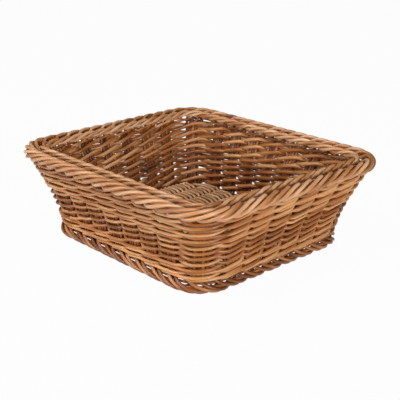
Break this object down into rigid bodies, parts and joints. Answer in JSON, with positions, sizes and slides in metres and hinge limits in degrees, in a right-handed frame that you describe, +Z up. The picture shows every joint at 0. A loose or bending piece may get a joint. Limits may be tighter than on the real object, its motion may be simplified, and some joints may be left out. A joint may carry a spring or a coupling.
{
  "type": "woven plastic basket",
  "caption": "Rectangular woven plastic-cane basket with flared walls, rounded corners, a rolled border and an open foot, for holding bread or goods.",
  "frame": {"origin": "on the surface that the basket stands on, under the middle of the basket", "axes": "+X along the long walls, +Y along the short walls, +Z up out of the mouth"},
  "size_m": [0.325, 0.285, 0.104],
  "materials": {
    "border_cane": "lightly grained tan plastic cane with a soft sheen",
    "wall_cane": "lightly grained brown-tan plastic cane with a soft sheen",
    "stake_cane": "lightly grained brown plastic cane",
    "base_cane": "lightly grained tan plastic cane",
    "foot_cane": "lightly grained brown-tan plastic cane with a soft sheen"
  },
  "bodies": {
    "root": {"cross_rods_1": "stake_cane", "cross_rods_2": "stake_cane", "cross_rods_3": "stake_cane", "cross_rods_4": "stake_cane", "cross_rods_5": "stake_cane", "cross_rods_6": "stake_cane", "cross_rods_7": "stake_cane", "corner_rods_right": "stake_cane", "corner_rods_left": "stake_cane", "end_rods_right_1": "stake_cane", "end_rods_left_1": "stake_cane", "end_rods_right_2": "stake_cane", "end_rods_left_2": "stake_cane", "end_rods_right_3": "stake_cane", "end_rods_left_3": "stake_cane", "end_rods_right_4": "stake_cane", "end_rods_left_4": "stake_cane", "end_rods_right_5": "stake_cane", "end_rods_left_5": "stake_cane", "end_rods_right_6": "stake_cane", "end_rods_left_6": "stake_cane", "base_weaver": "base_cane", "wale_1_strand_1": "wall_cane", "wale_1_strand_2": "wall_cane", "wale_1_strand_3": "wall_cane", "wale_2_strand_1": "wall_cane", "wale_2_strand_2": "wall_cane", "wale_2_strand_3": "wall_cane", "wale_3_strand_1": "wall_cane", "wale_3_strand_2": "wall_cane", "wale_3_strand_3": "wall_cane", "wale_4_strand_1": "wall_cane", "wale_4_strand_2": "wall_cane", "wale_4_strand_3": "wall_cane", "wale_5_strand_1": "wall_cane", "wale_5_strand_2": "wall_cane", "wale_5_strand_3": "wall_cane", "twine_1_strand_1": "wall_cane", "twine_1_strand_2": "wall_cane", "twine_2_strand_1": "wall_cane", "twine_2_strand_2": "wall_cane", "twine_3_strand_1": "wall_cane", "twine_3_strand_2": "wall_cane", "twine_4_strand_1": "wall_cane", "twine_4_strand_2": "wall_cane", "rolled_border": "border_cane", "border_rope": "border_cane", "foot_border": "foot_cane"}
  },
  "joints": []
}
